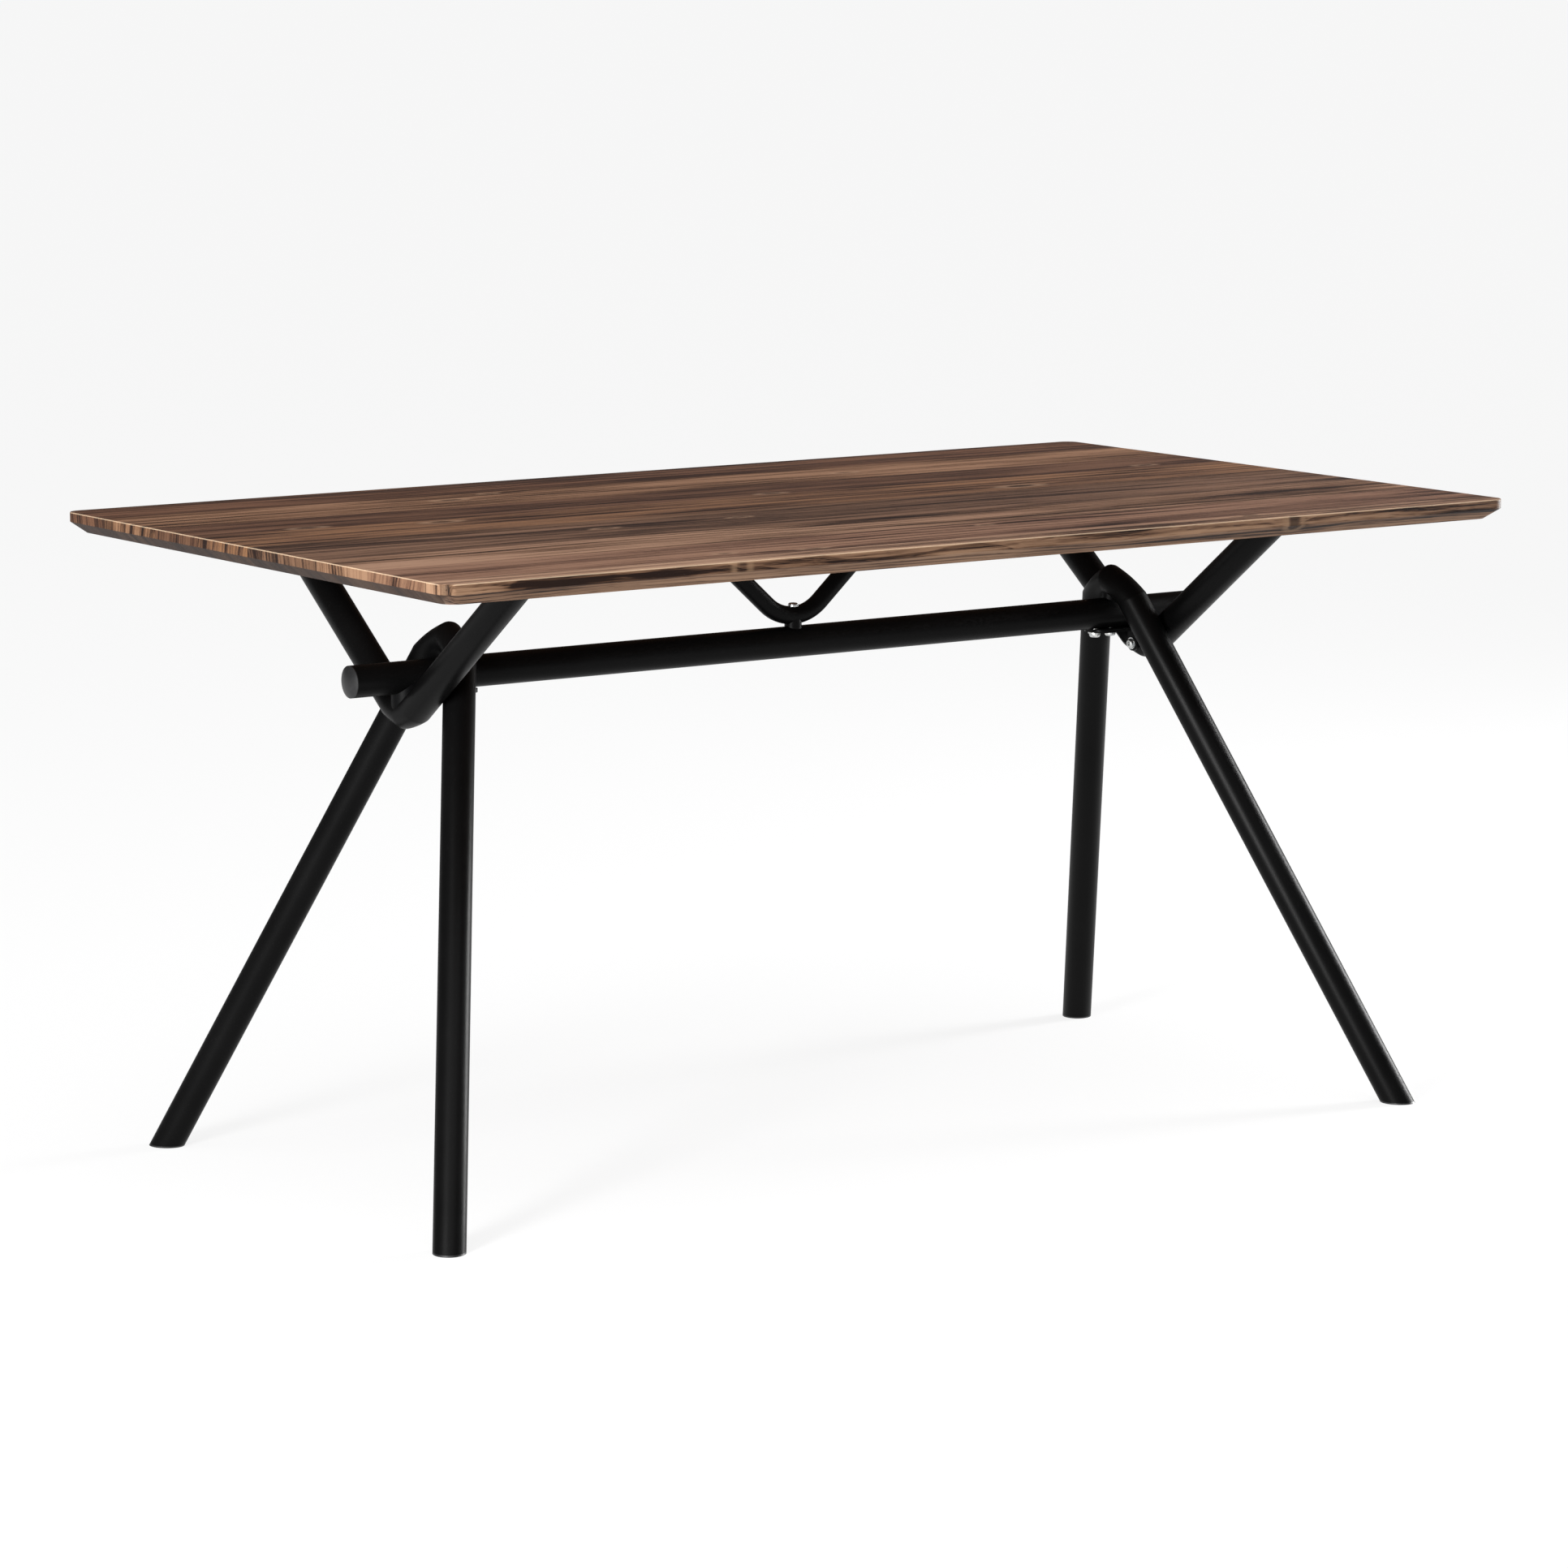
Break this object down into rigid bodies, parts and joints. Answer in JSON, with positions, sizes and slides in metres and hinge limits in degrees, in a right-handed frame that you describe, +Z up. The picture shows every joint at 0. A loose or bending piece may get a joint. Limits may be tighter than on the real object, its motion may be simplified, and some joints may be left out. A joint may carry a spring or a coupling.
{
  "type": "butcher block table",
  "caption": "Rectangular dining table: a glued solid-wood butcher block top with an under-bevelled edge on a bolted frame of bent black steel tube.",
  "frame": {"origin": "on the floor, under the middle of the table top", "axes": "+X along the table's length, along the stretcher; +Y across its width, to the back; +Z up"},
  "size_m": [1.51, 0.874, 0.762],
  "materials": {
    "butcher_block_wood": "satin oiled hardwood, walnut brown, with darker and lighter staves",
    "black_powder_coat": "fine-textured satin black powder coat",
    "zinc_plated_steel": "bright zinc plate",
    "black_plastic": "fine-grained black moulded plastic"
  },
  "bodies": {
    "root": {"brace": "black_powder_coat", "brace_bolt": "zinc_plated_steel", "brace_plate_left": "black_powder_coat", "brace_plate_right": "black_powder_coat", "brace_spacer": "black_powder_coat", "brace_washer": "zinc_plated_steel", "bracket_bolts": "zinc_plated_steel", "bracket_left": "black_powder_coat", "bracket_right": "black_powder_coat", "bracket_washers": "zinc_plated_steel", "end_cap_left": "black_plastic", "end_cap_right": "black_plastic", "foot_plug_back_left": "black_plastic", "foot_plug_back_right": "black_plastic", "foot_plug_front_left": "black_plastic", "foot_plug_front_right": "black_plastic", "leg_bolts": "zinc_plated_steel", "leg_frame_left": "black_powder_coat", "leg_frame_right": "black_powder_coat", "leg_pad_left": "black_plastic", "leg_pad_right": "black_plastic", "leg_rivet_nuts": "zinc_plated_steel", "leg_washers": "zinc_plated_steel", "plate_screws": "zinc_plated_steel", "stretcher": "black_powder_coat", "stretcher_rivet_nuts": "zinc_plated_steel", "support_bolts": "zinc_plated_steel", "support_left": "black_powder_coat", "support_pad_left": "black_plastic", "support_pad_right": "black_plastic", "support_plate_left_back": "black_powder_coat", "support_plate_left_front": "black_powder_coat", "support_plate_right_back": "black_powder_coat", "support_plate_right_front": "black_powder_coat", "support_right": "black_powder_coat", "support_rivet_nuts": "zinc_plated_steel", "support_washers": "zinc_plated_steel", "threaded_inserts": "zinc_plated_steel", "top_stave_1": "butcher_block_wood", "top_stave_2": "butcher_block_wood", "top_stave_3": "butcher_block_wood", "top_stave_4": "butcher_block_wood", "top_stave_5": "butcher_block_wood", "top_stave_6": "butcher_block_wood", "top_stave_7": "butcher_block_wood", "top_stave_8": "butcher_block_wood", "top_stave_9": "butcher_block_wood"}
  },
  "joints": []
}
